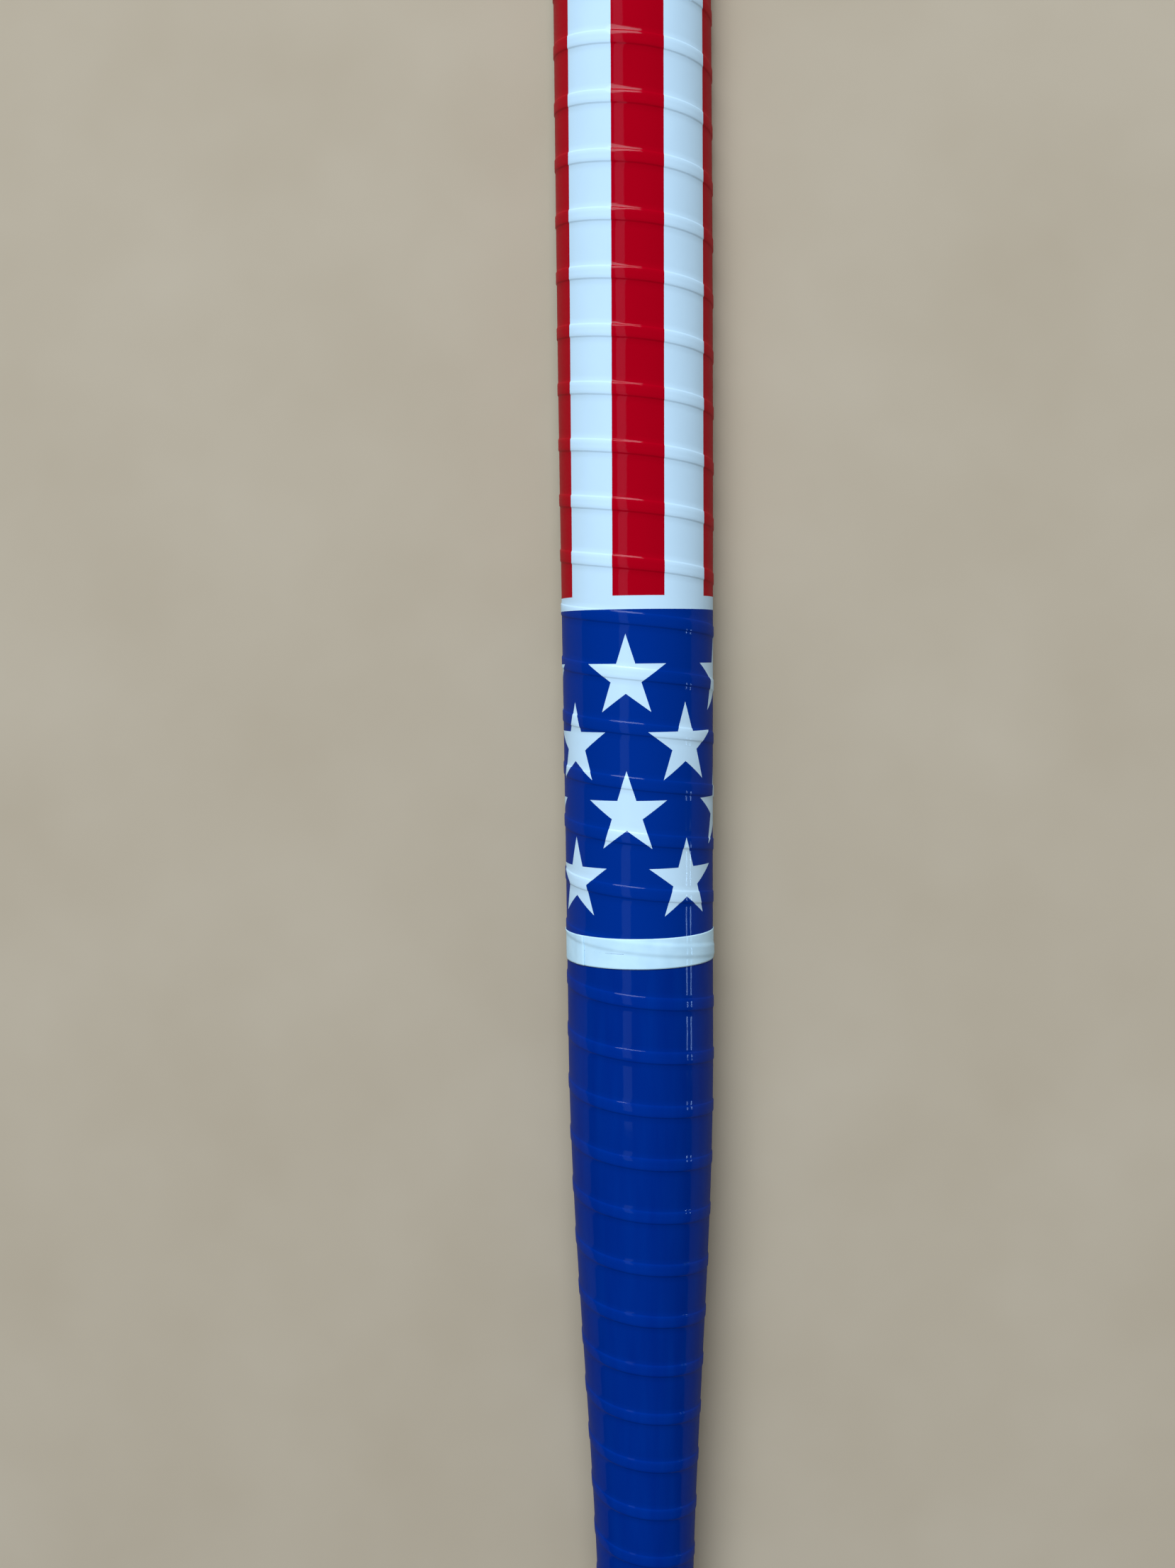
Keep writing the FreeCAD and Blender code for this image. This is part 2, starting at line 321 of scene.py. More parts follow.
def wound_sheet(name, start, end, place_of, rows, section_at, turns):
    # a tube between two distances from the butt, whose rows of points run with the spiral of a tape
    mesh = bmesh.new()
    lap = mesh.verts.layers.float.new("lap")
    uv = mesh.loops.layers.uv.new("round_and_along")
    grid = []
    for turn in [number + row for number in range(*turns) for row in rows]:
        line = []
        for k in range(len(section_at(start).stations())):
            place = place_of(turn)
            # the place depends on how far round the point is, and that on the place: three rounds settle it
            for _ in range(3):
                section = section_at(min(max(place, start), end))
                around = section.stations()[k]
                place = place_of(turn - section.turn(around))
            place = min(max(place, start), end)
            across, up = section.point(around)
            vert = mesh.verts.new(((axis + across) * mm, (butt + place) * mm, (section.height + up) * mm))
            vert[lap] = share_of_turn(turn)
            line.append((vert, around * mm, place * mm))
        grid.append(line)
    for low, high in zip(grid, grid[1:]):
        join_rows(mesh, low, high, uv)
    return new_piece(name, mesh)


def lap_ridges():
    # raises the band where each turn of tape lies over the one before it, with softened edges,
    # over a slight unevenness of the whole winding
    tree = bpy.data.node_groups.new("lap_ridges", "GeometryNodeTree")
    sockets = tree.interface
    sockets.new_socket("Geometry", in_out="OUTPUT", socket_type="NodeSocketGeometry")
    sockets.new_socket("Geometry", in_out="INPUT", socket_type="NodeSocketGeometry")
    for name in ("Ridge height", "Lap share", "Edge share", "Ripple height", "Ripple size"):
        sockets.new_socket(name, in_out="INPUT", socket_type="NodeSocketFloat")
    sockets.new_socket("Finish", in_out="INPUT", socket_type="NodeSocketMaterial")
    given = add_node(tree, "NodeGroupInput").outputs
    lap = add_node(tree, "GeometryNodeInputNamedAttribute", {"data_type": "FLOAT"},
                   {"Name": "lap"}).outputs["Attribute"]
    from_edge = add_node(tree, "ShaderNodeMath", {"operation": "SUBTRACT"}, {0: lap, 1: given["Lap share"]})
    below = add_node(tree, "ShaderNodeMath", {"operation": "MULTIPLY"}, {0: given["Edge share"], 1: -1.0})
    rising = add_node(tree, "ShaderNodeMapRange", {"interpolation_type": "SMOOTHSTEP"}, {
        "Value": lap, "From Min": below.outputs[0], "From Max": given["Edge share"]})
    falling = add_node(tree, "ShaderNodeMapRange", {"interpolation_type": "SMOOTHSTEP"}, {
        "Value": from_edge.outputs[0], "From Min": below.outputs[0], "From Max": given["Edge share"],
        "To Min": 1.0, "To Max": 0.0})
    band = add_node(tree, "ShaderNodeMath", {"operation": "MULTIPLY"},
                    {0: rising.outputs[0], 1: falling.outputs[0]}).outputs[0]
    ridge = add_node(tree, "ShaderNodeMath", {"operation": "MULTIPLY"}, {0: band, 1: given["Ridge height"]})
    spot = add_node(tree, "GeometryNodeInputPosition").outputs[0]
    scale = add_node(tree, "ShaderNodeMath", {"operation": "DIVIDE"}, {0: 1.0, 1: given["Ripple size"]})
    ripple = add_node(tree, "ShaderNodeTexNoise", {"noise_dimensions": "3D"}, {
        "Vector": spot, "Scale": scale.outputs[0], "Detail": 1.0, "Roughness": 0.4})
    centred = add_node(tree, "ShaderNodeMath", {"operation": "SUBTRACT"}, {0: ripple.outputs[0], 1: 0.5})
    height = add_node(tree, "ShaderNodeMath", {"operation": "MULTIPLY_ADD"},
                      {0: centred.outputs[0], 1: given["Ripple height"], 2: ridge.outputs[0]})
    outwards = add_node(tree, "GeometryNodeInputNormal").outputs[0]
    lift = add_node(tree, "ShaderNodeVectorMath", {"operation": "SCALE"},
                    {0: outwards, "Scale": height.outputs[0]})
    marked = add_node(tree, "GeometryNodeStoreNamedAttribute", {"data_type": "FLOAT", "domain": "POINT"},
                      {"Geometry": given["Geometry"], "Name": "ridge", "Value": band})
    moved = add_node(tree, "GeometryNodeSetPosition", {},
                     {"Geometry": marked.outputs[0], "Offset": lift.outputs[0]})
    real = add_node(tree, "GeometryNodeRealizeInstances", {}, {"Geometry": moved.outputs[0]})
    coated = add_node(tree, "GeometryNodeSetMaterial", {},
                      {"Geometry": real.outputs[0], "Material": given["Finish"]})
    add_node(tree, "NodeGroupOutput", {}, {"Geometry": coated.outputs[0]})
    return tree


ridge_tree = lap_ridges()


def settle(piece):
    # turns a piece and its modifiers into a plain mesh
    result = bpy.data.meshes.new_from_object(piece.evaluated_get(bpy.context.evaluated_depsgraph_get()))
    piece.modifiers.clear()
    piece.data = result


def raise_laps(piece, values):
    # runs the tree of the lap ridges on a wound piece and keeps the result
    modifier = piece.modifiers.new("laps", "NODES")
    modifier.node_group = ridge_tree
    for item in ridge_tree.interface.items_tree:
        if item.name in values:
            modifier[item.identifier] = values[item.name]
    settle(piece)


def thicken(piece, thickness):
    # gives a sheet its wall, inwards from the surface that it has
    wall = piece.modifiers.new("wall", "SOLIDIFY")
    wall.thickness = thickness * mm
    wall.offset = -1
    settle(piece)


def stands_for(piece, node):
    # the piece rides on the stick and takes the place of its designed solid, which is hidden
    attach(piece, "root")
    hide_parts(node)


def round_and_along(tree):
    # millimetres round from the top of the back, and millimetres from the butt
    uv = add_node(tree, "ShaderNodeUVMap", {"uv_map": "round_and_along"}).outputs[0]
    scaled = add_node(tree, "ShaderNodeVectorMath", {"operation": "SCALE"}, {0: uv, "Scale": 1 / mm})
    return add_node(tree, "ShaderNodeSeparateXYZ", {}, {0: scaled.outputs[0]}).outputs


stripe_width, stripe_shift, stripe_lean = 14.1, 1.2, 0.0065
stripe_end, field_end = 590.0, 586.4
star_column, star_row = 16.8, 18.23
star_radius, star_middle_column, top_star = 11.5, -2.4, 568.4
# the four rows are 0, -1, -2 and -3 rows from the top star, so this middle and this reach take them all in
middle_of_rows, reach_of_rows = -1.5, 1.7
film_white, film_red, film_blue = linear("BDD8E9"), linear("A00015"), linear("002A80")


def stripes(tree, around, along):
    # 1 on the red stripes, which are as wide as the white ones between them and lean very slightly
    above = add_node(tree, "ShaderNodeMath", {"operation": "SUBTRACT"}, {0: along, 1: stripe_end})
    straight = add_node(tree, "ShaderNodeMath", {"operation": "MULTIPLY_ADD"},
                        {0: above.outputs[0], 1: -stripe_lean, 2: around})
    count = add_node(tree, "ShaderNodeMath", {"operation": "MULTIPLY_ADD"},
                     {0: straight.outputs[0], 1: 1 / stripe_width, 2: 0.5 - stripe_shift / stripe_width})
    pair = add_node(tree, "ShaderNodeMath", {"operation": "FLOORED_MODULO"}, {0: count.outputs[0], 1: 2.0})
    red = add_node(tree, "ShaderNodeMath", {"operation": "LESS_THAN"}, {0: pair.outputs[0], 1: 1.0})
    return red.outputs[0]


def from_nearest(tree, around, along, column, row):
    # how far across and up from the middle of the nearest mark in staggered columns and rows
    spot = add_node(tree, "ShaderNodeCombineXYZ", {}, {0: around, 1: along}).outputs[0]
    rising = add_node(tree, "ShaderNodeVectorMath", {"operation": "DOT_PRODUCT"},
                      {0: spot, 1: (0.5 / column, 0.5 / row, 0)}).outputs["Value"]
    falling = add_node(tree, "ShaderNodeVectorMath", {"operation": "DOT_PRODUCT"},
                       {0: spot, 1: (0.5 / column, -0.5 / row, 0)}).outputs["Value"]
    cell = add_node(tree, "ShaderNodeCombineXYZ", {}, {0: rising, 1: falling}).outputs[0]
    cell = add_node(tree, "ShaderNodeVectorMath", {"operation": "WRAP"},
                    {0: cell, 1: (0.5, 0.5, 0.5), 2: (-0.5, -0.5, -0.5)}).outputs[0]
    across = add_node(tree, "ShaderNodeVectorMath", {"operation": "DOT_PRODUCT"},
                      {0: cell, 1: (column, column, 0)}).outputs["Value"]
    upwards = add_node(tree, "ShaderNodeVectorMath", {"operation": "DOT_PRODUCT"},
                       {0: cell, 1: (row, -row, 0)}).outputs["Value"]
    offset = add_node(tree, "ShaderNodeCombineXYZ", {}, {0: across, 1: upwards})
    reach = add_node(tree, "ShaderNodeVectorMath", {"operation": "LENGTH"}, {0: offset.outputs[0]})
    return across, upwards, reach.outputs["Value"]


def stars(tree, around, along):
    # 1 inside five-pointed stars, each with a point towards the head, in four staggered rows
    shifted = add_node(tree, "ShaderNodeMath", {"operation": "SUBTRACT"}, {0: around, 1: star_middle_column})
    below = add_node(tree, "ShaderNodeMath", {"operation": "SUBTRACT"}, {0: along, 1: top_star}).outputs[0]
    across, upwards, reach = from_nearest(tree, shifted.outputs[0], below, star_column, star_row)
    angle = add_node(tree, "ShaderNodeMath", {"operation": "ARCTAN2"}, {0: across, 1: upwards}).outputs[0]
    tenth = math.pi / 5
    folded = add_node(tree, "ShaderNodeMath", {"operation": "WRAP"}, {0: angle, 1: tenth, 2: -tenth})
    folded = add_node(tree, "ShaderNodeMath", {"operation": "ABSOLUTE"}, {0: folded.outputs[0]})
    leaned = add_node(tree, "ShaderNodeMath", {"operation": "SUBTRACT"}, {0: folded.outputs[0], 1: 2 * tenth})
    share = add_node(tree, "ShaderNodeMath", {"operation": "COSINE"}, {0: leaned.outputs[0]})
    edge = add_node(tree, "ShaderNodeMath", {"operation": "MULTIPLY"}, {0: share.outputs[0], 1: reach})
    inside = add_node(tree, "ShaderNodeMath", {"operation": "LESS_THAN"},
                      {0: edge.outputs[0], 1: star_radius * math.cos(2 * tenth)})
    row = add_node(tree, "ShaderNodeMath", {"operation": "SUBTRACT"}, {0: below, 1: upwards})
    printed = add_node(tree, "ShaderNodeMath", {"operation": "COMPARE"},
                       {0: row.outputs[0], 1: middle_of_rows * star_row, 2: reach_of_rows * star_row})
    return add_node(tree, "ShaderNodeMath", {"operation": "MULTIPLY"},
                    {0: inside.outputs[0], 1: printed.outputs[0]}).outputs[0]


def film_finish(name, roughness=0.36):
    # shrunk film under clear lacquer: deep even colour, a wet gloss and a faint orange peel; the film
    # and the lacquer bend light alike, so that only the lacquer's face mirrors
    finish, tree, shader = new_finish(name, roughness, ior=1.5)
    shader.inputs["Specular IOR Level"].default_value = 0.0
    shader.inputs["Coat Weight"].default_value = 0.18
    shader.inputs["Coat Roughness"].default_value = 0.07
    orange_peel = grain(tree, 6.0, 9.0, detail=2.0)
    relief(tree, shader, orange_peel, depth=0.06, strength=0.5, coat=True)
    return finish, tree, shader


def tint_with_ridge_light(tree, shader, colour, lighter):
    # the colour over the raised band of doubled tape is painted a little lighter, a painted highlight, where
    # the given amount is above nought, and a little darker, painted shade, where it is below; besides that
    # the colour is never quite even
    ridge = add_node(tree, "ShaderNodeAttribute", {"attribute_name": "ridge"}).outputs["Fac"]
    uneven = add_node(tree, "ShaderNodeMath", {"operation": "MULTIPLY_ADD"},
                      {0: grain(tree, 11.0, 16.0), 1: 0.08, 2: 0.96}).outputs[0]
    gain = add_node(tree, "ShaderNodeMath", {"operation": "MULTIPLY_ADD"}, {0: ridge, 1: lighter, 2: uneven})
    toned = add_node(tree, "ShaderNodeVectorMath", {"operation": "SCALE"},
                     {0: colour, "Scale": gain.outputs[0]})
    tree.links.new(toned.outputs[0], shader.inputs["Base Color"])


printed_film, tree, shader = film_finish("polyester_film_printed_lacquered")
around, along, _ = round_and_along(tree)
past_stripes = add_node(tree, "ShaderNodeMath", {"operation": "GREATER_THAN"}, {0: along, 1: stripe_end})
past_field = add_node(tree, "ShaderNodeMath", {"operation": "GREATER_THAN"}, {0: along, 1: field_end})
striped = add_node(tree, "ShaderNodeMix", {"data_type": "RGBA"},
                   {0: stripes(tree, around, along), 6: film_white, 7: film_red})
starred = add_node(tree, "ShaderNodeMix", {"data_type": "RGBA"},
                   {0: stars(tree, around, along), 6: film_blue, 7: film_white})
upper = add_node(tree, "ShaderNodeMix", {"data_type": "RGBA"},
                 {0: past_stripes.outputs[0], 6: film_white, 7: striped.outputs[2]})
whole = add_node(tree, "ShaderNodeMix", {"data_type": "RGBA"},
                 {0: past_field.outputs[0], 6: starred.outputs[2], 7: upper.outputs[2]})
# the raised bands of the printed film are painted a little lighter: a painted highlight
tint_with_ridge_light(tree, shader, whole.outputs[2], 0.03)

flag_turns = (-9, 17)
flag_film = wound_sheet("flag_film_printed", film_start, film_end, tape_place, lap_rows, Section, flag_turns)
film_ridges = {
    "Ridge height": 0.21 * mm, "Lap share": lap_share, "Edge share": lap_edge,
    "Ripple height": 0.05 * mm, "Ripple size": 22 * mm}
raise_laps(flag_film, {**film_ridges, "Finish": printed_film})
thicken(flag_film, film_thickness)
stands_for(flag_film, "flag_film")

# Plain blue film
# The same film without a print, from the ring down the taper to the grip, over the same tape. The
# turns lie closer together where the shaft gets thinner, and their raised bands are painted lighter than the
# single colour, a painted highlight.
plain_film, tree, shader = film_finish("polyester_film_blue_lacquered")
deep = two_tone(tree, grain(tree, 4.0, 30.0), 0.3, 0.7, linear("002478"), linear("00297E"))
# the raised bands of the blue film are painted lighter: a painted highlight
tint_with_ridge_light(tree, shader, deep, 0.12)

blue_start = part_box("blue_film")[0][1] / mm - butt
blue_turns = (-23, -5)
blue_film = wound_sheet("blue_film_plain", blue_start, film_start, tape_place, lap_rows, Section, blue_turns)
raise_laps(blue_film, {**film_ridges, "Finish": plain_film})
thicken(blue_film, film_thickness)
stands_for(blue_film, "blue_film")

# White ring
# A strip of white vinyl tape, laid round the joint of the two films with its end lapped over its
# start. The spiral ridge below shows through it.
ring_start, ring_end = (corner[1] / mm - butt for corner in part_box("white_ring_band"))
ring_tape_thickness, ring_gap = 0.15, 0.05
ring_first, ring_overlap, ring_climb = -19.0, 3.0, 1.5
ring_columns, ring_rows = 130, 24

white_vinyl, tree, shader = film_finish("vinyl_tape_white_glossy", 0.3)
soft_white = two_tone(tree, grain(tree, 5.0, 5.0), 0.3, 0.7, linear("B8D9EA"), linear("C2E2F1"))
# the raised bands under the ring tape are painted a little darker: painted shade
tint_with_ridge_light(tree, shader, soft_white, -0.02)

mesh = bmesh.new()
lap = mesh.verts.layers.float.new("lap")
uv = mesh.loops.layers.uv.new("round_and_along")
grid = []
for row in range(ring_rows + 1):
    place = mix(ring_start, ring_end, row / ring_rows)
    section = Section(place)
    girth = 2 * section.half_girth
    line = []
    for column in range(ring_columns + 1):
        laid = mix(0, girth + ring_overlap, column / ring_columns)
        around = (ring_first + laid + section.half_girth) % girth - section.half_girth
        climb = ring_tape_thickness * 1.1 * ease(laid, girth - ring_climb, girth)
        across, up = section.point(around, ring_gap + ring_tape_thickness + climb)
        vert = mesh.verts.new(((axis + across) * mm, (butt + place) * mm, (section.height + up) * mm))
        turn = (place - first_turn) / middle_pitch + section.turn(around)
        vert[lap] = share_of_turn(turn)
        line.append((vert, (ring_first + laid) * mm, place * mm))
    grid.append(line)
for low, high in zip(grid, grid[1:]):
    join_rows(mesh, low, high, uv)
ring = new_piece("white_ring_tape", mesh)
raise_laps(ring, {**film_ridges, "Edge share": 2 * lap_edge, "Finish": white_vinyl})
thicken(ring, ring_tape_thickness)
stands_for(ring, "white_ring_band")

# Head skin
# A knitted glass sock, drawn over the head, set in resin and painted. The stripes of the shaft are
# carried on round the hook, and the toe ends in the same rounded section.
hook_radius, hook_turn, toe_straight = 37.0, math.radians(160), 11.0
heel = (cad_box[1][1] / mm - butt) - hook_radius - shaft_half
toe_start = heel + hook_radius * hook_turn
nose_start = toe_start + toe_straight
sock_thickness = 1.2
neck_steps, hook_steps, toe_steps, nose_steps = 18, 60, 5, 28
head_section = Section(film_end)


def head_point(place, across, forward, up):
    # a point beside the centre line, which runs straight, then round the hook, then along the toe
    turned = min(max((place - heel) / hook_radius, 0.0), hook_turn)
    forward += max(place - toe_start, 0.0)
    out = hook_radius + across
    x = out * math.cos(turned) - forward * math.sin(turned) - hook_radius
    y = out * math.sin(turned) + forward * math.cos(turned) + min(place, heel)
    return (axis + x) * mm, (butt + y) * mm, (head_section.height + up) * mm


places = [mix(film_end, heel, i / neck_steps) for i in range(neck_steps)]
places += [mix(heel, toe_start, i / hook_steps) for i in range(hook_steps)]
places += [mix(toe_start, nose_start, i / toe_steps) for i in range(toe_steps + 1)]
mesh = bmesh.new()
uv = mesh.loops.layers.uv.new("round_and_along")
grid = []
for place in places:
    line = []
    for around in head_section.stations():
        across, up = head_section.point(around)
        line.append((mesh.verts.new(head_point(place, across, 0, up)), around * mm, place * mm))
    grid.append(line)
for low, high in zip(grid, grid[1:]):
    join_rows(mesh, low, high, uv)
arcs = []
for step in range(nose_steps + 1):
    swung = math.pi * step / nose_steps
    line = []
    for around in [r for r in head_section.stations() if r >= 0]:
        across, up = head_section.point(around)
        vert = mesh.verts.new(head_point(nose_start, across * math.cos(swung), across * math.sin(swung), up))
        line.append((vert, around * math.cos(swung) * mm, (nose_start + around * math.sin(swung)) * mm))
    arcs.append(line)
for low, high in zip(arcs, arcs[1:]):
    join_rows(mesh, low, high, uv)
head_skin = new_piece("head_skin_painted", mesh)

knit_pitch = 2.4
painted_sock, tree, shader = film_finish("polyurethane_paint_over_glass_knit", 0.3)
around, along, _ = round_and_along(tree)
painted = add_node(tree, "ShaderNodeMix", {"data_type": "RGBA"},
                   {0: stripes(tree, around, along), 6: film_white, 7: film_red}).outputs[2]
uneven = add_node(tree, "ShaderNodeMath", {"operation": "MULTIPLY_ADD"},
                  {0: grain(tree, 9.0, 9.0), 1: 0.1, 2: 0.95}).outputs[0]
toned = add_node(tree, "ShaderNodeVectorMath", {"operation": "SCALE"}, {0: painted, "Scale": uneven})
tree.links.new(toned.outputs[0], shader.inputs["Base Color"])
knit = from_nearest(tree, around, along, knit_pitch, knit_pitch)[2]
relief(tree, shader, knit, depth=0.03, strength=0.25, coat=True)
head_skin.data.materials.append(painted_sock)
thicken(head_skin, sock_thickness)
stands_for(head_skin, "head_glass_sock")

# Grip cushion
# A sleeve of closed-cell EVA foam, glued round the handle under the grip. Matt and dark, with the
# skin of its small cells just showing.
cell_size = 0.8
cushion_foam, tree, shader = new_finish("eva_foam_closed_cell", roughness=0.9, ior=1.45)
spot = add_node(tree, "ShaderNodeTexCoord").outputs["Object"]
cells = add_node(tree, "ShaderNodeTexVoronoi", {}, {"Vector": spot, "Scale": 1 / (cell_size * mm)})
tree.links.new(two_tone(tree, cells.outputs["Distance"], 0.1, 0.8, linear("34373C"), linear("24262A")),
               shader.inputs["Base Color"])
relief(tree, shader, cells.outputs["Distance"], depth=0.1, strength=0.7)
coat("grip_cushion", cushion_foam)

# Grip tape
# A band of navy polyurethane on a felt back, wound from the butt with each turn lapped over the last
# and punched with small air holes. Soft and dull, with a leathery grain.
grip_start, grip_end = grip_low[1] / mm - butt, grip_high[1] / mm - butt
grip_radius = (grip_high[0] - grip_low[0]) / 2 / mm
collar_start, collar_end = (corner[1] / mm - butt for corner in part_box("grip_collar"))
grip_pitch, grip_lap, grip_edge = 24.0, 0.16, 0.022
grip_ridge, grip_wall, grip_tuck = 0.42, 1.1, 0.75
hole_spacing, hole_radius = 4.2, 0.55


class Round:
    # a round section about the handle's axis, with the same uses as the shaft's section
    def __init__(self, radius):
        self.radius, self.height, self.half_girth = radius, grip_centre, math.pi * radius

    def stations(self, steps=48):
        return [self.half_girth * i / steps for i in range(-steps, steps + 1)]

    def point(self, around):
        angle = around / self.radius
        return self.radius * math.sin(angle), self.radius * math.cos(angle)

    def turn(self, around):
        return around / (2 * self.half_girth)


def grip_section(place):
    # full size, then tucked in under the collar
    tuck = grip_tuck * ease(place, collar_start - 4, collar_start + 1)
    return Round(grip_radius - 1.1 * grip_ridge - tuck)


def wound_rows(lap, edge, plain_rows):
    # where in a turn the rows of points lie: close at both edges of the lap and even between them
    rows = [edge * k for k in edge_rows] + [lap / 2]
    rows += [lap + edge * k for k in edge_rows]
    return rows + [mix(lap + edge, 1 - edge, (i + 1) / (plain_rows + 1)) for i in range(plain_rows)]


grip_leather, tree, shader = new_finish("polyurethane_grip_grained", roughness=0.55, ior=1.49)
around, along, _ = round_and_along(tree)
from_hole = from_nearest(tree, around, along, hole_spacing, hole_spacing)[2]
rim = add_node(tree, "ShaderNodeMapRange", {"interpolation_type": "SMOOTHSTEP"}, {
    "Value": from_hole, "From Min": hole_radius * 0.7, "From Max": hole_radius * 1.3}).outputs[0]
skin = two_tone(tree, grain(tree, 3.0, 5.0), 0.3, 0.7, linear("0B1B3E"), linear("122650"))
# the air holes are painted near black: the dark foam at their bottoms, deepened with painted shade
tree.links.new(two_tone(tree, rim, 0.0, 1.0, linear("04080F"), skin), shader.inputs["Base Color"])
wrinkles = add_node(tree, "ShaderNodeMath", {"operation": "MULTIPLY_ADD"},
                    {0: grain(tree, 0.7, 0.7), 1: 0.35, 2: rim}).outputs[0]
relief(tree, shader, wrinkles, depth=0.25, strength=0.8)

grip_turns, grip_plain_rows = (-1, 14), 8
grip = wound_sheet("grip_tape_wound", grip_start, grip_end, lambda turn: grip_pitch * turn,
                   wound_rows(grip_lap, grip_edge, grip_plain_rows), grip_section, grip_turns)
raise_laps(grip, {
    "Ridge height": grip_ridge * mm, "Lap share": grip_lap, "Edge share": grip_edge,
    "Ripple height": 0.06 * mm, "Ripple size": 14 * mm, "Finish": grip_leather})
thicken(grip, grip_wall)
stands_for(grip, "grip_tape")

# Grip collar
# White finishing tape, pulled tight over the upper end of the grip and down onto the blue film, so
# that the grip can't unwind. Three narrow turns with their edges showing.
collar_pitch, collar_lap, collar_edge = 6.3, 0.3, 0.045
collar_radius, collar_lip, collar_ridge, collar_wall = 16.3, 13.9, 0.14, 0.25


def collar_section(place):
    return Round(mix(collar_radius, collar_lip, ease(place, grip_end, collar_end)) - collar_ridge)


collar_vinyl, tree, shader = new_finish("vinyl_finishing_tape_white", roughness=0.42, ior=1.5)
stretched = grain(tree, across=1.2, along=6.0)
tree.links.new(two_tone(tree, stretched, 0.3, 0.7, linear("CFDDE4"), linear("E2ECF0")),
               shader.inputs["Base Color"])
relief(tree, shader, stretched, depth=0.05, strength=0.4)
collar_turns, collar_plain_rows = (43, 50), 3
collar = wound_sheet("grip_collar_wound", collar_start, collar_end, lambda turn: collar_pitch * turn,
                     wound_rows(collar_lap, collar_edge, collar_plain_rows), collar_section, collar_turns)
raise_laps(collar, {
    "Ridge height": collar_ridge * mm, "Lap share": collar_lap, "Edge share": collar_edge,
    "Ripple height": 0.04 * mm, "Ripple size": 9 * mm, "Finish": collar_vinyl})
thicken(collar, collar_wall)
stands_for(collar, "grip_collar")

# Butt cap
# A moulded cap of black polypropylene, glued over the end of the handle: a rounded end with a shallow
# dished face, and a skirt that runs in under the grip.
cap_radius, cap_round = 16.2, 2.5
skirt_radius, skirt_bore, skirt_end = 14.8, 13.25, 16.0
dish_radius, dish_depth, dish_rim = 9.5, 0.7, 0.8
cap_steps, dish_steps, round_steps = 96, 5, 8

profile = [(0, dish_depth)]
for i in range(dish_steps + 1):
    out = dish_radius - dish_rim + dish_rim * i / dish_steps
    profile.append((out, dish_depth * (1 - ease(i, 0, dish_steps))))
for i in range(round_steps + 1):
    angle = math.pi / 2 * i / round_steps
    profile.append((cap_radius - cap_round * (1 - math.sin(angle)), cap_round * (1 - math.cos(angle))))
profile += [(cap_radius, grip_start), (skirt_radius, grip_start), (skirt_radius, skirt_end)]
profile += [(skirt_bore, skirt_end), (skirt_bore, grip_start), (0, grip_start)]
mesh = bmesh.new()
grid = []
for radius, place in profile:
    line = []
    for step in range(cap_steps + 1):
        angle = 2 * math.pi * step / cap_steps
        at = (axis + radius * math.sin(angle), butt + place, grip_centre + radius * math.cos(angle))
        line.append(mesh.verts.new([v * mm for v in at]))
    grid.append(line)
for low, high in zip(grid, grid[1:]):
    for k in range(cap_steps):
        mesh.faces.new([low[k], low[k + 1], high[k + 1], high[k]]).smooth = True
cap = new_piece("butt_cap_moulded", mesh)

flow_patch, mould_grain = 5.0, 0.4
moulded_plastic, tree, shader = new_finish("polypropylene_moulded_black", roughness=0.48, ior=1.49)
flow = grain(tree, flow_patch, flow_patch)
tree.links.new(two_tone(tree, flow, 0.3, 0.7, linear("121315"), linear("1C1D20")),
               shader.inputs["Base Color"])
relief(tree, shader, grain(tree, mould_grain, mould_grain), depth=0.05, strength=0.5)
cap.data.materials.append(moulded_plastic)
bevel = cap.modifiers.new("soft_edges", "BEVEL")
bevel.width = 0.15 * mm
bevel.limit_method = "ANGLE"
settle(cap)
stands_for(cap, "butt_cap")

# Floor, lights and camera
# A plain pale floor. The large soft light stands beyond the head, so that it isn't mirrored in the
# lacquer; a faint long panel overhead and two low narrow ones at the right draw the gloss lines.
half_floor, floor_patch = 6.0, 60.0
floor_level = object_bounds()[0][2]
corners = [(half_floor * x, half_floor * y, floor_level) for x, y in ((-1, -1), (1, -1), (1, 1), (-1, 1))]
floor_mesh = bpy.data.meshes.new("floor")
floor_mesh.from_pydata(corners, [], [(0, 1, 2, 3)])
floor = bpy.data.objects.new("floor", floor_mesh)
bpy.context.scene.collection.objects.link(floor)
pale_floor, tree, shader = new_finish("painted_board_matt", roughness=0.9, ior=1.45)
shader.inputs["Specular IOR Level"].default_value = 0.0
patches = grain(tree, floor_patch, floor_patch)
tree.links.new(two_tone(tree, patches, 0.2, 0.8, linear("AB9D88"), linear("B4A793")),
               shader.inputs["Base Color"])
floor_mesh.materials.append(pale_floor)

# the camera stands over this place on the shaft, and the lights are set out from it
middle_place = 573.0
middle = (butt + middle_place) * mm


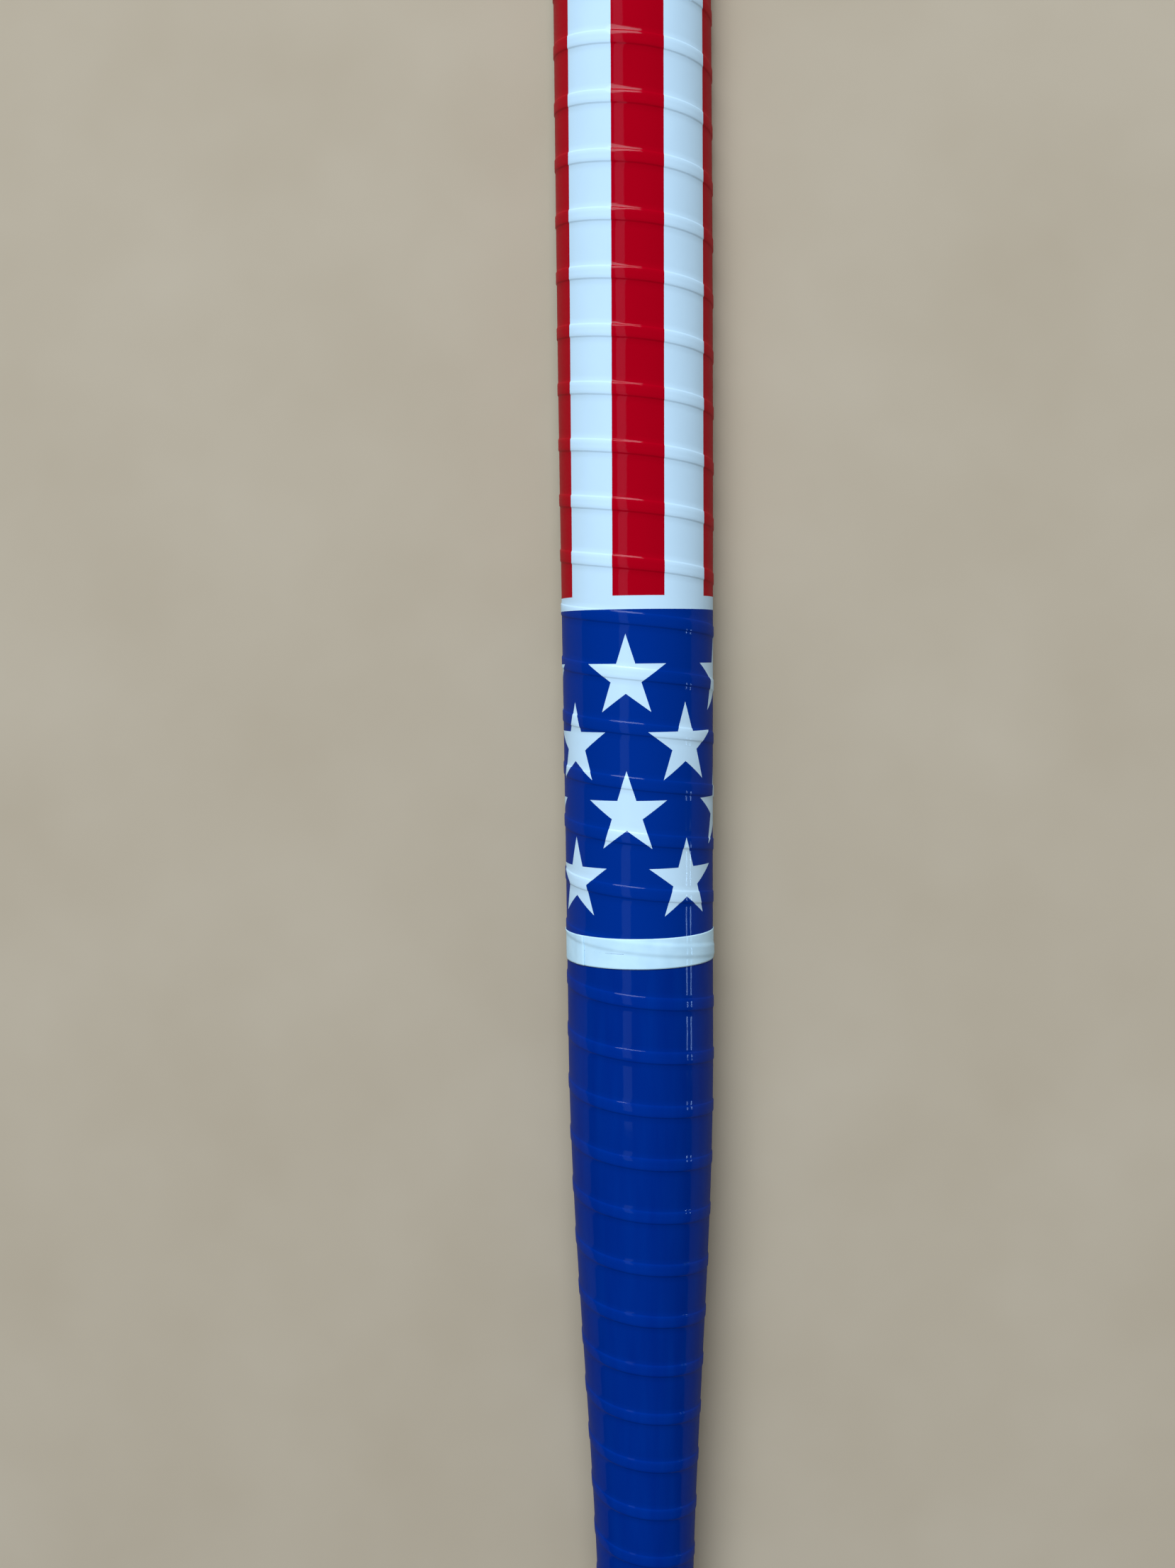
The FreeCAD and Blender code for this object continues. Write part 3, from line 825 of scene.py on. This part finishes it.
def panel(name, place, aim, size, power, colour, spread=180, gloss_only=False):
    # a soft rectangular light, placed in metres, that lights everything or shows only as a gloss
    lamp = bpy.data.lights.new(name, "AREA")
    lamp.shape = "RECTANGLE"
    lamp.size, lamp.size_y = size
    lamp.energy = power
    lamp.color = linear(colour)[:3]
    lamp.spread = math.radians(spread)
    holder = bpy.data.objects.new(name, lamp)
    holder.location = place
    holder.rotation_euler = (Vector(aim) - Vector(place)).to_track_quat("-Z", "Y").to_euler()
    holder.visible_camera = False
    holder.visible_diffuse = not gloss_only
    bpy.context.scene.collection.objects.link(holder)


panel("window_beyond_head", (-0.45, middle + 2.3, 2.4), (0, middle, 0), (2.6, 1.4), 38, "E6F2FF", 80)
panel("overhead_panel", (-0.46, middle + 0.2, 1.5), (0, middle + 0.2, 0), (1.5, 0.38), 3.5, "A9D3FF",
      gloss_only=True)
for height in (0.08, 0.4):
    across, beside = (2.2, middle - 0.4, height), (0, middle - 0.4, height)
    panel("low_right_panel", across, beside, (0.36, 0.05), 2.3, "A6D2FF", gloss_only=True)

room = bpy.data.worlds.new("soft_room")
bpy.context.scene.world = room
room.use_nodes = True
tree = room.node_tree
sky = tree.nodes["Background"]
sky.inputs["Color"].default_value = linear("E4E9EE")
mirrored = add_node(tree, "ShaderNodeLightPath").outputs["Is Glossy Ray"]
room_light, mirrored_room = 0.38, 0.015
level = add_node(tree, "ShaderNodeMapRange", {},
                 {"Value": mirrored, "To Min": room_light, "To Max": mirrored_room})
tree.links.new(level.outputs[0], sky.inputs["Strength"])

camera_right, camera_height, camera_tilt = 18.2, 463.0, (-4.387, 4.051, -0.691)
eye = bpy.data.cameras.new("camera")
eye.sensor_fit = "VERTICAL"
eye.sensor_height = 36.0
eye.lens = 37.45
camera = bpy.data.objects.new("camera", eye)
camera.location = ((axis + camera_right) * mm, middle, camera_height * mm)
camera.rotation_euler = [math.radians(angle) for angle in camera_tilt]
bpy.context.scene.collection.objects.link(camera)
bpy.context.scene.camera = camera
bpy.context.scene.view_settings.view_transform = "Standard"
